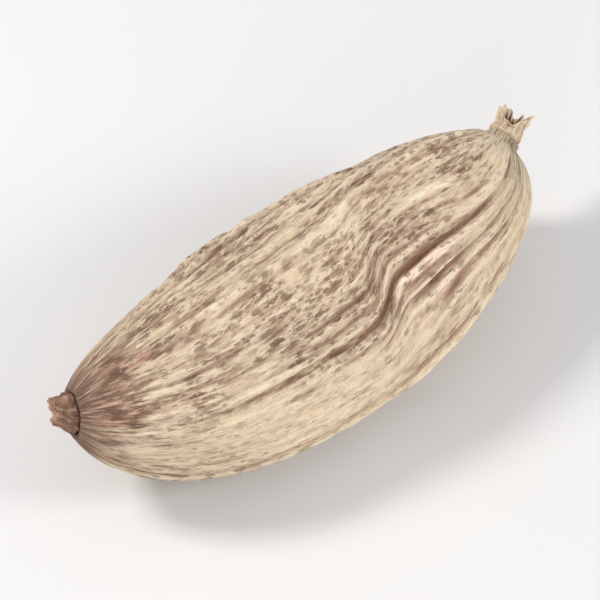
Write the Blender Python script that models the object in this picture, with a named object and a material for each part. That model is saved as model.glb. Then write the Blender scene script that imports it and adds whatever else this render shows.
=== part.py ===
"""A dried green cardamom pod, lying on its side on a small flat spot.

Three pieces, each one closed solid: the three-sided ribbed husk, the broken stalk stub rooted in
the dimple at its base, and the papery flower remnant rooted in the end of its neck.
Sizes are in millimetres until the last step, which makes them metres. +Z is up, +X runs from the
stalk to the beak, and the origin is on the surface under the middle of the pod.
"""

import math
import random

import bmesh
import bpy
import numpy as np

MM = 0.001
SEED = 11

# Driving sizes of the husk, in millimetres.
HUSK_LENGTH = 19.0
HUSK_WIDTH = 7.1
BOW_SIDE = 1.15
BOW_DOWN = 0.72
FLAT_SPOT_DEPTH = 0.19

# Shares of the husk's length, measured from the stalk end.
WIDEST = 0.51
BODY_END = 0.988
BASE_BLUNTNESS = 2.7
APEX_BLUNTNESS = 2.2
BOW_BLUNTNESS = 2.8

# The two narrow ends that the body grows out of, in millimetres.
PAD_RADIUS = 0.92
NECK_RADIUS = 0.78
NECK_END_RADIUS = 0.64
END_BLEND = 2.3

# The section is a rounded triangle. Angles grow from the front, over the top, to the back.
TOP_CORNER = math.radians(90)
FRONT_SUTURE = math.radians(30)
CORNERS = [TOP_CORNER + math.radians(120) * k for k in range(3)]
SUTURES = [FRONT_SUTURE + math.radians(120) * k for k in range(3)]
UNDERSIDE = math.radians(-90)
TRIANGLE = 0.062
CORNER_CRISPNESS = 0.20
OVAL = 0.030
TWIST = math.radians(26)
GATHER = math.radians(10)
SWING = math.radians(14)

# The front suture jumps up past the middle and comes back toward the beak.
JUMP = math.radians(16)
JUMP_SHARES = (0.50, 0.585)
RETURN_SHARES = (0.64, 0.92)
JUMP_SPREAD = math.radians(38)

# Ribs, furrows and the soft swellings over the seeds, in millimetres and degrees. The bundle is the
# ribs and furrows under the front suture. Its furrows give offset, depth, half-width, start and end.
CORNER_RIB = (0.15, 4.6)
SUTURE_FURROW = (-0.17, 2.6)
SUTURE_RIB = (0.15, 3.0)
SUTURE_RIB_OFFSET = 6.2
BUNDLE_RIB = (0.13, 2.8)
BUNDLE_OFFSETS = (-23.5, -36.0)
BUNDLE_SHARES = (0.50, 1.0)
BUNDLE_FURROWS = [
    (-16.0, -0.15, 3.4, 0.52, 0.86),
    (-30.0, -0.12, 2.8, 0.58, 0.84),
    (16.5, -0.08, 2.4, 0.40, 0.51),
]
FINE_RIB_COUNT = 27
FINE_RIB_HEIGHTS = (0.04, 0.13)
FINE_RIB_WIDTHS = (2.4, 3.6)
FINE_RIB_JITTER = 2.6
RIB_WANDER = 1.7
SWELLING_COUNT = 9
SWELLING_HEIGHT = 0.045
UNDERSIDE_RIB_SHARE = 0.35

# How finely the husk is faceted.
HUSK_SIDES = 108
HUSK_RINGS = 50

# The holes in the husk's two ends and the roots in them: gap and lip in millimetres.
ROOT_GAP = 0.08
ROOT_TAPER = 0.90
HOLE_LIP = 0.05
HOLE_TAPER = 0.96

# Stalk stub and its dimple, in millimetres. The outline gives shares of the length outside the
# dimple and shares of the root's half-width.
DIMPLE_RADIUS = 0.70
DIMPLE_DEPTH = 0.50
STALK_LENGTH = 0.62
STALK_OUTLINE = [(0.0, 1.02), (0.22, 1.12), (0.48, 1.00), (0.74, 0.86), (0.94, 0.76)]
STALK_BREAK = [(0.58, 0.00), (0.28, 0.06)]
STALK_LEAN = 0.20
STALK_TEAR = 0.13
STALK_SIDES = 24

# Flower remnant and its socket, in millimetres. Its outline and its hollow give shares of the
# length outside the socket and half-widths.
SOCKET_RADIUS = 0.44
SOCKET_DEPTH = 0.60
REMNANT_LENGTH = 1.05
REMNANT_OUTLINE = [(0.06, 0.50), (0.16, 0.61), (0.32, 0.57), (0.54, 0.52), (0.78, 0.54)]
REMNANT_RIM = 0.62
REMNANT_HOLLOW = [(0.80, 0.40), (0.58, 0.28), (0.46, 0.14)]
REMNANT_WALL = 0.16
REMNANT_TEAR = 0.17
REMNANT_LOBES = 5
REMNANT_LEAN = 0.24
REMNANT_SPLIT = math.radians(65)
SPLIT_HALF_WIDTH = math.radians(38)
SPLIT_DEPTH = 0.38
REMNANT_SIDES = 30


def smoothstep(low, high, value):
    """0 below low, 1 above high, and a smooth rise between."""
    share = np.clip((value - low) / (high - low), 0.0, 1.0)
    return share * share * (3.0 - 2.0 * share)


def angle_between(first, second):
    """The signed angle from second to first, within half a turn."""
    return (first - second + math.pi) % (2.0 * math.pi) - math.pi


def girth(share):
    """Half-width of the husk at a share of its length, before the ribs."""
    base = np.clip((WIDEST - share) / WIDEST, 0.0, 1.0) ** BASE_BLUNTNESS
    apex = np.clip((share - WIDEST) / (BODY_END - WIDEST), 0.0, 1.0) ** APEX_BLUNTNESS
    body = 0.5 * HUSK_WIDTH * np.sqrt(np.clip(1.0 - base - apex, 0.0, 1.0))
    pad = PAD_RADIUS * (1.0 - smoothstep(0.0, 0.16, share))
    taper = NECK_RADIUS + (NECK_END_RADIUS - NECK_RADIUS) * smoothstep(0.90, 1.0, share)
    neck = taper * smoothstep(0.62, 0.92, share)
    return (body**END_BLEND + pad**END_BLEND + neck**END_BLEND) ** (1.0 / END_BLEND)


def spine(share):
    """Centre of the husk's section: the belly bows down and to the front."""
    bow = 1.0 - np.abs(2.0 * share - 1.0) ** BOW_BLUNTNESS
    return np.stack([HUSK_LENGTH * share, -BOW_SIDE * bow, -BOW_DOWN * bow], axis=-1)


def heading(share):
    """Unit vectors along the spine, toward the beak."""
    end = 2.0 * share - 1.0
    lean = 2.0 * BOW_BLUNTNESS * np.sign(end) * np.abs(end) ** (BOW_BLUNTNESS - 1.0)
    along = np.stack([np.full_like(lean, HUSK_LENGTH), BOW_SIDE * lean, BOW_DOWN * lean], axis=-1)
    return along / np.linalg.norm(along, axis=-1, keepdims=True)


def outward(turn, share):
    """Unit vectors square to the spine: turn 0 faces the front, a quarter turn is up."""
    along = heading(share)
    front = along * along[..., 1:2] - np.array([0.0, 1.0, 0.0])
    front = front / np.linalg.norm(front, axis=-1, keepdims=True)
    up = np.cross(front, along)
    return np.cos(turn)[..., None] * front + np.sin(turn)[..., None] * up


def section(grown):
    """The rounded triangle: how far the skin stands from the spine, against the mean."""
    triple = 3.0 * (grown - TOP_CORNER)
    corners = np.cos(triple) + CORNER_CRISPNESS * np.cos(2.0 * triple)
    return 1.0 + TRIANGLE * corners + OVAL * np.cos(2.0 * grown)


def turned(grown, share):
    """Where a grown angle lies round the pod.

    The husk twists. Toward the beak its ribs gather to the front suture, and that side swings up.
    """
    from_suture = angle_between(grown, FRONT_SUTURE)
    gather = GATHER * smoothstep(0.45, 1.0, share) * np.sin(from_suture)
    swing = SWING * smoothstep(0.46, 0.76, share) * 0.5 * (1.0 + np.cos(from_suture))
    jump = JUMP * (smoothstep(*JUMP_SHARES, share) - smoothstep(*RETURN_SHARES, share))
    near = np.exp(-((from_suture / JUMP_SPREAD) ** 2))
    return grown + TWIST * (share - 0.5) - gather + near * jump + (1.0 - near) * swing


def make_ribs():
    """Every rib and furrow: its angle, height, half-width, and the shares where it starts and ends."""
    draw = random.Random(SEED)
    ribs = [(corner, *CORNER_RIB, 0.0, 1.0) for corner in CORNERS]
    for suture in SUTURES:
        ribs.append((suture, *SUTURE_FURROW, 0.30, 0.97))
        for side in (-1, 1):
            ribs.append((suture + side * math.radians(SUTURE_RIB_OFFSET), *SUTURE_RIB, 0.18, 1.0))
    for offset in BUNDLE_OFFSETS:
        ribs.append((FRONT_SUTURE + math.radians(offset), *BUNDLE_RIB, *BUNDLE_SHARES))
    for k in range(FINE_RIB_COUNT):
        angle = 360.0 * k / FINE_RIB_COUNT + draw.uniform(-FINE_RIB_JITTER, FINE_RIB_JITTER)
        height = draw.uniform(*FINE_RIB_HEIGHTS)
        width = draw.uniform(*FINE_RIB_WIDTHS)
        start = draw.choice((0.0, 0.0, 0.12, 0.30))
        end = draw.choice((1.0, 1.0, 0.88, 0.70))
        ribs.append((math.radians(angle), height, width, start, end))
    for offset, depth, width, start, end in BUNDLE_FURROWS:
        ribs.append((FRONT_SUTURE + math.radians(offset), depth, width, start, end))
    return [(*rib, draw.uniform(0.0, 1.0)) for rib in ribs]


def make_swellings():
    """Soft waves of the skin over the seeds: lobes round, waves along, phase and height."""
    draw = random.Random(SEED + 1)
    return [
        (draw.randint(1, 5), draw.uniform(1.0, 3.6), draw.uniform(0.0, 2.0 * math.pi), SWELLING_HEIGHT)
        for _ in range(SWELLING_COUNT)
    ]


def rib_relief(grown, share, ribs):
    """Height of the ribs and depth of the furrows at a place on the skin."""
    relief = np.zeros_like(grown)
    for angle, height, width, start, end, phase in ribs:
        wander = math.radians(RIB_WANDER) * np.sin(2.0 * math.pi * (1.3 * share + phase))
        across = angle_between(grown, angle + wander) / math.radians(width)
        rise = smoothstep(start - 0.10, start + 0.10, share)
        fall = 1.0 - smoothstep(end - 0.04, end + 0.06, share)
        relief += height * rise * fall * np.exp(-(across**2))
    pressed = np.exp(-((angle_between(grown, UNDERSIDE) / math.radians(38)) ** 2))
    return relief * (1.0 - (1.0 - UNDERSIDE_RIB_SHARE) * pressed)


def swell_relief(grown, share, swellings):
    """The soft waves of the skin, fading out at both ends."""
    waves = sum(
        height * np.cos(lobes * grown + 2.0 * math.pi * rate * share + phase)
        for lobes, rate, phase, height in swellings
    )
    return waves * np.sin(math.pi * np.clip(share, 0.0, 1.0))


def husk_skin(grown, share, ribs, swellings):
    """Points of the husk's skin, in millimetres, for grown angles and shares of the length."""
    slim = np.clip(girth(share) / (0.5 * HUSK_WIDTH), 0.05, 1.0)
    relief = rib_relief(grown, share, ribs) * slim**0.75 + swell_relief(grown, share, swellings)
    radius = girth(share) * section(grown) + relief
    return spine(share) + radius[..., None] * outward(turned(grown, share), share)


def closed_mesh(name, rings, first_pole, last_pole):
    """A closed mesh through rings of points, with a fan to a pole at each end."""
    shape = bmesh.new()
    loops = [[shape.verts.new(point) for point in ring] for ring in rings]
    ends = [shape.verts.new(first_pole), shape.verts.new(last_pole)]
    sides = len(loops[0])
    for low, high in zip(loops, loops[1:]):
        for k in range(sides):
            after = (k + 1) % sides
            shape.faces.new((low[k], low[after], high[after], high[k]))
    for k in range(sides):
        after = (k + 1) % sides
        shape.faces.new((loops[0][after], loops[0][k], ends[0]))
        shape.faces.new((loops[-1][k], loops[-1][after], ends[1]))
    bmesh.ops.recalc_face_normals(shape, faces=shape.faces)
    bmesh.ops.triangulate(shape, faces=shape.faces, quad_method="SHORT_EDGE")
    mesh = bpy.data.meshes.new(name)
    shape.to_mesh(mesh)
    shape.free()
    mesh.shade_smooth()
    return mesh


def beyond(end, distance, lift=0.0):
    """A point near an end of the spine (share 0 or 1), a distance toward the beak and lifted."""
    share = np.array(end)
    return spine(share) + distance * heading(share) + lift * outward(TOP_CORNER, share)


def tube_ring(end, distance, radii, turns, lift=0.0, torn=0.0):
    """A ring square to an end of the spine, its points moved toward the beak by the tear."""
    share = np.array(end)
    tear = np.broadcast_to(torn, turns.shape)[:, None] * heading(share)
    across = np.broadcast_to(radii, turns.shape)[:, None] * outward(turns, share)
    return beyond(end, distance, lift) + across + tear


def husk_rings():
    """Rings from the floor of the stalk's dimple, over the skin, to the floor of the neck's socket."""
    ribs, swellings = make_ribs(), make_swellings()
    grown = np.linspace(0.0, 2.0 * math.pi, HUSK_SIDES, endpoint=False)
    steps = np.linspace(0.0, 1.0, HUSK_RINGS)
    shares = 0.35 * steps + 0.65 * 0.5 * (1.0 - np.cos(math.pi * steps))
    skin = [husk_skin(grown, np.full(HUSK_SIDES, share), ribs, swellings) for share in shares]
    base_turns, neck_turns = turned(grown, 0.0), turned(grown, 1.0)
    dimple = [
        tube_ring(0.0, DIMPLE_DEPTH, HOLE_TAPER * DIMPLE_RADIUS, base_turns),
        tube_ring(0.0, HOLE_LIP, DIMPLE_RADIUS, base_turns),
    ]
    socket = [
        tube_ring(1.0, -HOLE_LIP, SOCKET_RADIUS, neck_turns),
        tube_ring(1.0, -SOCKET_DEPTH, HOLE_TAPER * SOCKET_RADIUS, neck_turns),
    ]
    return dimple + skin + socket, [beyond(0.0, DIMPLE_DEPTH), beyond(1.0, -SOCKET_DEPTH)]


def stalk_rings():
    """Rings of the stalk stub, from its root in the dimple out to its broken end."""
    turns = np.linspace(0.0, 2.0 * math.pi, STALK_SIDES, endpoint=False)
    root_radius = DIMPLE_RADIUS - ROOT_GAP
    root_depth = DIMPLE_DEPTH - ROOT_GAP
    rings = [tube_ring(0.0, root_depth, ROOT_TAPER * root_radius, turns)]
    for share, width in STALK_OUTLINE:
        furrows = 1.0 + 0.08 * share * np.cos(5.0 * turns + 0.6)
        lift = STALK_LEAN * share**1.5
        rings.append(tube_ring(0.0, -STALK_LENGTH * share, root_radius * width * furrows, turns, lift))
    torn = STALK_TEAR * (np.cos(2.0 * turns + 1.0) + 0.5 * np.cos(5.0 * turns))
    tip = -STALK_LENGTH - STALK_TEAR
    for width, depth in STALK_BREAK:
        rings.append(tube_ring(0.0, tip + depth, root_radius * width, turns, STALK_LEAN, 0.6 * torn))
    return rings, [beyond(0.0, root_depth), beyond(0.0, tip + STALK_BREAK[-1][1], STALK_LEAN)]


def remnant_ring(share, radii, turns, torn=0.0):
    """A ring of the flower remnant at a share of its length: it nods up and is split in front."""
    nod = math.atan2(2.0 * REMNANT_LEAN * share, REMNANT_LENGTH)
    slant = radii * np.sin(turns) * math.sin(nod)
    across = angle_between(turns, REMNANT_SPLIT) / SPLIT_HALF_WIDTH
    split = SPLIT_DEPTH * smoothstep(0.45, 1.0, share) * np.exp(-(across**2))
    lift = REMNANT_LEAN * share**2
    return tube_ring(1.0, REMNANT_LENGTH * share, radii, turns, lift, torn - slant - split)


def remnant_rings():
    """Rings of the flower remnant: root, outside, torn rim, then back down its hollow."""
    turns = np.linspace(0.0, 2.0 * math.pi, REMNANT_SIDES, endpoint=False)
    lobes = np.cos(REMNANT_LOBES * turns + 0.5)
    tatters = 0.7 * lobes + 0.6 * np.cos(2.0 * turns - 0.8) + 0.5 * np.cos(9.0 * turns + 1.0)
    torn = REMNANT_TEAR * tatters
    root_radius = SOCKET_RADIUS - ROOT_GAP
    root_depth = SOCKET_DEPTH - ROOT_GAP
    rings = [tube_ring(1.0, -root_depth, ROOT_TAPER * root_radius, turns)]
    rings.append(tube_ring(1.0, 0.0, root_radius, turns))
    for share, radius in REMNANT_OUTLINE:
        rings.append(remnant_ring(share, radius * (1.0 + 0.08 * share * lobes), turns))
    rim = REMNANT_RIM * (1.0 + 0.10 * lobes)
    rings.append(remnant_ring(1.0, rim, turns, torn))
    rings.append(remnant_ring(1.0, rim - REMNANT_WALL, turns, torn - 0.02))
    for share, radius in REMNANT_HOLLOW:
        rings.append(remnant_ring(share, radius * (1.0 + 0.08 * share * lobes), turns))
    hollow_floor = REMNANT_HOLLOW[-1][0]
    floor = beyond(1.0, REMNANT_LENGTH * hollow_floor, REMNANT_LEAN * hollow_floor**2)
    return rings, [beyond(1.0, -root_depth), floor]


def rest_on_flat_spot(parts):
    """Presses the belly flat where it meets the surface, and centres the pod over the origin."""
    husk_points = np.concatenate(parts["husk"][0])
    floor = husk_points[:, 2].min() + FLAT_SPOT_DEPTH
    every = np.concatenate([np.concatenate([*rings, poles]) for rings, poles in parts.values()])
    middle = (every.min(axis=0) + every.max(axis=0)) / 2.0
    shift = np.array([middle[0], middle[1], floor])
    placed = {}
    for name, (rings, poles) in parts.items():
        moved = [ring - shift for ring in rings]
        for ring in moved:
            ring[:, 2] = np.maximum(ring[:, 2], 0.0)
        placed[name] = ([ring * MM for ring in moved], [(pole - shift) * MM for pole in poles])
    return placed


def make_material(name, colour, roughness):
    """A plain dry surface of one colour."""
    material = bpy.data.materials.new(name)
    material.use_nodes = True
    shader = material.node_tree.nodes["Principled BSDF"]
    shader.inputs["Base Color"].default_value = (*colour, 1.0)
    shader.inputs["Roughness"].default_value = roughness
    shader.inputs["Metallic"].default_value = 0.0
    return material


def main():
    """Builds the pod's three pieces under one empty."""
    for old in list(bpy.data.objects):
        bpy.data.objects.remove(old)
    finishes = {
        "husk": make_material("dry_husk", (0.57, 0.43, 0.29), 0.72),
        "stalk_stub": make_material("brown_stalk", (0.21, 0.13, 0.08), 0.80),
        "flower_remnant": make_material("papery_flower", (0.52, 0.39, 0.25), 0.75),
    }
    parts = {"husk": husk_rings(), "stalk_stub": stalk_rings(), "flower_remnant": remnant_rings()}
    pod = bpy.data.objects.new("pod", None)
    bpy.context.scene.collection.objects.link(pod)
    for name, (rings, poles) in rest_on_flat_spot(parts).items():
        piece = bpy.data.objects.new(name, closed_mesh(name, rings, *poles))
        piece.data.materials.append(finishes[name])
        piece.parent = pod
        bpy.context.scene.collection.objects.link(piece)


main()
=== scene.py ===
"""The dressed green cardamom pod, lying on its side on a pale floor.

The husk, the stalk stub and the flower remnant are modelled again, finer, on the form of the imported
solids. Their sizes are in millimetres until they are placed, which makes them metres.
"""

from __future__ import annotations

import logging
import math
import random
from dataclasses import dataclass, field
from enum import Enum

import bpy
import numpy as np
from mathutils import Matrix, Vector


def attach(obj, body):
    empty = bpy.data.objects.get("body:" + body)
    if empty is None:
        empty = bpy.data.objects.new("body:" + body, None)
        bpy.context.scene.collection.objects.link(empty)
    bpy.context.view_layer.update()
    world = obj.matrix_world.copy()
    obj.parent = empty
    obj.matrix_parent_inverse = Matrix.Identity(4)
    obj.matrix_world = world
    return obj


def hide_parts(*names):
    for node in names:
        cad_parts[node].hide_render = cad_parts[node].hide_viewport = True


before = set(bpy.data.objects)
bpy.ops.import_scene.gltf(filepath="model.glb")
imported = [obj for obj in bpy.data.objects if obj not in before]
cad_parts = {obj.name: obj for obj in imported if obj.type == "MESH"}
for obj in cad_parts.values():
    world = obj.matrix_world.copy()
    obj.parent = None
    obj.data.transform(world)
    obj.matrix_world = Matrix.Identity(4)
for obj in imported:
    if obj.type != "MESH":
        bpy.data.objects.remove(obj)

MM = 0.001
FULL_TURN = 2.0 * math.pi
SINKING_LIGHT = (1.0, 0.6, 0.35)
BODY = "root"
GRAIN = "grain"
CREST = "crest"
STAIN_AND_LIGHT = "stain"
GROOVE = "groove"

log = logging.getLogger("cardamom_pod")

Colour = tuple[float, float, float]
Range = tuple[float, float]
Outline = tuple[tuple[float, float], ...]
Socket = bpy.types.NodeSocket


class End(Enum):
    """The two ends of the pod, as shares of the husk's length."""

    STALK = 0.0
    BEAK = 1.0


def smoothstep(low: float, high: float, value: np.ndarray) -> np.ndarray:
    """Returns 0 below low, 1 above high, and a smooth rise between."""
    share = np.clip((value - low) / (high - low), 0.0, 1.0)
    return share * share * (3.0 - 2.0 * share)


def angle_between(first: np.ndarray, second: np.ndarray) -> np.ndarray:
    """Returns the signed angle from second to first, within half a turn."""
    return (first - second + math.pi) % FULL_TURN - math.pi


@dataclass(frozen=True)
class Rib:
    """One rib or furrow that runs along the husk.

    Angle is in radians, height in millimetres (a furrow's is negative) and half-width in degrees.
    """

    angle: float
    height: float
    half_width: float
    start: float
    end: float
    phase: float = 0.0


@dataclass(frozen=True)
class Swelling:
    """One soft wave of the skin over the seeds."""

    lobes: int
    rate: float
    phase: float
    height: float


@dataclass(frozen=True)
class Blush:
    """One soft patch where the husk has dried browner, or paler if its strength is negative; a few pale
    patches are painted light instead.

    Angle and spread are in degrees round the pod, share and reach in shares of its length.
    """

    angle: float
    share: float
    spread: float
    reach: float
    strength: float

    def cover(self, grown: np.ndarray, share: np.ndarray) -> np.ndarray:
        """Returns how strongly the patch covers each place."""
        across = np.degrees(angle_between(grown, math.radians(self.angle))) / self.spread
        along = (share - self.share) / self.reach
        return self.strength * np.exp(-(across**2) - along**2)


def covered(patches: tuple[Blush, ...], grown: np.ndarray, share: np.ndarray) -> np.ndarray:
    """Returns how strongly all of the patches together cover each place."""
    return sum(patch.cover(grown, share) for patch in patches)


@dataclass(frozen=True)
class SkinNoise:
    """Smooth seeded bumps on a net of cells round and along the pod."""

    cells_round: int
    cells_along: int
    seed: int

    def sample(self, grown: np.ndarray, share: np.ndarray) -> np.ndarray:
        """Reads the bumps.

        Args:
            grown: angles round the pod, in radians.
            share: shares of the pod's length.

        Returns:
            Heights from -1 to 1, which join up after a full turn.
        """
        draw = np.random.default_rng(self.seed)
        heights = draw.uniform(-1.0, 1.0, (self.cells_round, self.cells_along + 2))
        across = (grown / FULL_TURN % 1.0) * self.cells_round
        along = np.clip(share, 0.0, 1.0) * self.cells_along
        left, low = np.floor(across).astype(int), np.floor(along).astype(int)
        ease_across = smoothstep(0.0, 1.0, across - left)
        ease_along = smoothstep(0.0, 1.0, along - low)
        left = left % self.cells_round
        right = (left + 1) % self.cells_round
        near = heights[left, low] * (1.0 - ease_across) + heights[right, low] * ease_across
        far = heights[left, low + 1] * (1.0 - ease_across) + heights[right, low + 1] * ease_across
        return near * (1.0 - ease_along) + far * ease_along

    def around(self, grown: np.ndarray) -> np.ndarray:
        """Returns the bumps read round the pod alone."""
        return self.sample(grown, np.zeros_like(grown))

    def crests(self, grown: np.ndarray, share: np.ndarray) -> np.ndarray:
        """Returns thin crests that fork: 1 along each, and down to -1.4 between."""
        return 1.0 - 2.4 * np.abs(self.sample(grown, share))


@dataclass
class PodForm:
    """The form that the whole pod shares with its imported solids, in millimetres and degrees."""

    husk_length: float = 19.0
    husk_width: float = 7.1
    bow_side: float = 1.15
    bow_down: float = 0.72
    bow_bluntness: float = 2.8
    widest: float = 0.51
    body_end: float = 0.988
    base_bluntness: float = 2.7
    apex_bluntness: float = 2.2
    pad_radius: float = 0.92
    neck_radius: float = 0.78
    neck_end_radius: float = 0.64
    end_blend: float = 2.3
    top_corner: float = math.radians(90)
    front_suture: float = math.radians(30)
    underside: float = math.radians(-90)
    triangle: float = 0.062
    corner_crispness: float = 0.20
    oval: float = 0.030
    twist: float = math.radians(26)
    gather: float = math.radians(10)
    swing: float = math.radians(14)
    jump: float = math.radians(16)
    jump_spread: float = math.radians(38)
    suture_rib_offset: float = 6.2
    bundle_offsets: tuple[float, ...] = (-23.5, -36.0)
    bundle_furrows: tuple[tuple[float, ...], ...] = (
        (-16.0, -0.15, 3.4, 0.52, 0.86),
        (-30.0, -0.12, 2.8, 0.58, 0.84),
        (16.5, -0.08, 2.4, 0.40, 0.51),
    )
    fine_rib_count: int = 27
    rib_wander: float = 1.7
    underside_width: float = math.radians(38)
    underside_rib_share: float = 0.35
    crispness: float = 0.45
    crisp_width: float = 0.48
    swelling_count: int = 9
    swelling_height: float = 0.045
    seed: int = 11
    placed_at: tuple[float, float, float] = (9.8178, -1.1839, -3.9795)
    ribs: list[Rib] = field(default_factory=list)
    swellings: list[Swelling] = field(default_factory=list)

    def __post_init__(self) -> None:
        """Draws the ribs and swellings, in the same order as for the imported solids."""
        self.ribs = self.draw_ribs()
        self.swellings = self.draw_swellings()

    def draw_ribs(self) -> list[Rib]:
        """Returns every rib and furrow: corners, sutures, the bundle in front and the fine ribs."""
        draw = random.Random(self.seed)
        third = math.radians(120)
        ribs = [Rib(self.top_corner + third * k, 0.15, 4.6, 0.0, 1.0) for k in range(3)]
        for k in range(3):
            suture = self.front_suture + third * k
            ribs.append(Rib(suture, -0.17, 2.6, 0.30, 0.97))
            for side in (-1, 1):
                angle = suture + side * math.radians(self.suture_rib_offset)
                ribs.append(Rib(angle, 0.15, 3.0, 0.18, 1.0))
        for offset in self.bundle_offsets:
            ribs.append(Rib(self.front_suture + math.radians(offset), 0.13, 2.8, 0.50, 1.0))
        for k in range(self.fine_rib_count):
            angle = math.radians(360.0 * k / self.fine_rib_count + draw.uniform(-2.6, 2.6))
            height = draw.uniform(0.04, 0.13)
            half_width = draw.uniform(2.4, 3.6)
            start = draw.choice((0.0, 0.0, 0.12, 0.30))
            end = draw.choice((1.0, 1.0, 0.88, 0.70))
            ribs.append(Rib(angle, height, half_width, start, end))
        for offset, depth, half_width, start, end in self.bundle_furrows:
            ribs.append(Rib(self.front_suture + math.radians(offset), depth, half_width, start, end))
        return [
            Rib(rib.angle, rib.height, rib.half_width, rib.start, rib.end, draw.uniform(0.0, 1.0))
            for rib in ribs
        ]

    def draw_swellings(self) -> list[Swelling]:
        """Returns the soft waves of the skin over the seeds."""
        draw = random.Random(self.seed + 1)
        swellings = []
        for _ in range(self.swelling_count):
            lobes = draw.randint(1, 5)
            rate = draw.uniform(1.0, 3.6)
            phase = draw.uniform(0.0, FULL_TURN)
            swellings.append(Swelling(lobes, rate, phase, self.swelling_height))
        return swellings

    def girth(self, share: np.ndarray) -> np.ndarray:
        """Returns the husk's half-width before its ribs."""
        base = np.clip((self.widest - share) / self.widest, 0.0, 1.0) ** self.base_bluntness
        reach = (share - self.widest) / (self.body_end - self.widest)
        apex = np.clip(reach, 0.0, 1.0) ** self.apex_bluntness
        body = 0.5 * self.husk_width * np.sqrt(np.clip(1.0 - base - apex, 0.0, 1.0))
        pad = self.pad_radius * (1.0 - smoothstep(0.0, 0.16, share))
        narrowing = (self.neck_end_radius - self.neck_radius) * smoothstep(0.90, 1.0, share)
        neck = (self.neck_radius + narrowing) * smoothstep(0.62, 0.92, share)
        blend = self.end_blend
        return (body**blend + pad**blend + neck**blend) ** (1.0 / blend)

    def spine(self, share: np.ndarray) -> np.ndarray:
        """Returns the centre of the husk's section."""
        bow = 1.0 - np.abs(2.0 * share - 1.0) ** self.bow_bluntness
        return np.stack([self.husk_length * share, -self.bow_side * bow, -self.bow_down * bow], axis=-1)

    def heading(self, share: np.ndarray) -> np.ndarray:
        """Returns unit vectors along the spine, toward the beak."""
        end = 2.0 * share - 1.0
        lean = 2.0 * self.bow_bluntness * np.sign(end) * np.abs(end) ** (self.bow_bluntness - 1.0)
        length = np.full_like(lean, self.husk_length)
        along = np.stack([length, self.bow_side * lean, self.bow_down * lean], axis=-1)
        return along / np.linalg.norm(along, axis=-1, keepdims=True)

    def outward(self, turn: np.ndarray, share: np.ndarray) -> np.ndarray:
        """Returns unit vectors square to the spine: 0 faces the front, a quarter turn is up."""
        along = self.heading(share)
        front = along * along[..., 1:2] - np.array([0.0, 1.0, 0.0])
        front = front / np.linalg.norm(front, axis=-1, keepdims=True)
        up = np.cross(front, along)
        return np.cos(turn)[..., None] * front + np.sin(turn)[..., None] * up

    def section(self, grown: np.ndarray) -> np.ndarray:
        """Returns how far the rounded triangle stands from the spine, against its mean."""
        triple = 3.0 * (grown - self.top_corner)
        corners = np.cos(triple) + self.corner_crispness * np.cos(2.0 * triple)
        return 1.0 + self.triangle * corners + self.oval * np.cos(2.0 * grown)

    def turned(self, grown: np.ndarray, share: np.ndarray) -> np.ndarray:
        """Returns where a grown angle lies round the twisted pod, whose front suture jumps up."""
        from_suture = angle_between(grown, self.front_suture)
        gather = self.gather * smoothstep(0.45, 1.0, share) * np.sin(from_suture)
        swing = self.swing * smoothstep(0.46, 0.76, share) * 0.5 * (1.0 + np.cos(from_suture))
        jump = self.jump * (smoothstep(0.50, 0.585, share) - smoothstep(0.64, 0.92, share))
        near = np.exp(-((from_suture / self.jump_spread) ** 2))
        return grown + self.twist * (share - 0.5) - gather + near * jump + (1.0 - near) * swing

    def pressed(self, grown: np.ndarray) -> np.ndarray:
        """Returns how far the ribs keep their height: less on the underside."""
        under = np.exp(-((angle_between(grown, self.underside) / self.underside_width) ** 2))
        return 1.0 - (1.0 - self.underside_rib_share) * under

    def rib_relief(self, grown: np.ndarray, share: np.ndarray) -> np.ndarray:
        """Returns the height of the ribs and the depth of the furrows, with a crisp line along each."""
        relief = np.zeros_like(grown)
        for rib in self.ribs:
            wander = math.radians(self.rib_wander) * np.sin(FULL_TURN * (1.3 * share + rib.phase))
            across = angle_between(grown, rib.angle + wander) / math.radians(rib.half_width)
            rise = smoothstep(rib.start - 0.10, rib.start + 0.10, share)
            fall = 1.0 - smoothstep(rib.end - 0.04, rib.end + 0.06, share)
            soft = np.exp(-(across**2))
            crisp = np.exp(-((across / self.crisp_width) ** 2))
            relief += rib.height * rise * fall * (soft + self.crispness * (crisp - soft))
        return relief * self.pressed(grown)

    def swell_relief(self, grown: np.ndarray, share: np.ndarray) -> np.ndarray:
        """Returns the soft waves of the skin, which fade out at both ends."""
        waves = np.zeros_like(grown)
        for swelling in self.swellings:
            angle = swelling.lobes * grown + FULL_TURN * swelling.rate * share + swelling.phase
            waves += swelling.height * np.cos(angle)
        return waves * np.sin(math.pi * np.clip(share, 0.0, 1.0))

    def slimness(self, share: np.ndarray) -> np.ndarray:
        """Returns the girth against that of the widest place."""
        return np.clip(self.girth(share) / (0.5 * self.husk_width), 0.05, 1.0)

    def end_matrix(self, end: End) -> Matrix:
        """Returns the placing of a piece drawn along +Z, in millimetres, out from an end of the husk."""
        share = np.array(end.value)
        outward = 1.0 if end is End.BEAK else -1.0
        along = Vector(self.heading(share)) * outward
        up = Vector(self.outward(np.array(self.top_corner), share))
        side = up.cross(along)
        turn = Matrix((side, up, along)).transposed().to_4x4()
        centre = Vector(self.spine(share)) - Vector(self.placed_at)
        return Matrix.Scale(MM, 4) @ Matrix.Translation(centre) @ turn

    def settle(self, points: np.ndarray) -> np.ndarray:
        """Returns points in metres, set over the origin, with the belly pressed flat on the surface."""
        placed = points - np.array(self.placed_at)
        placed[..., 2] = np.maximum(placed[..., 2], 0.0)
        return placed * MM


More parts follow.
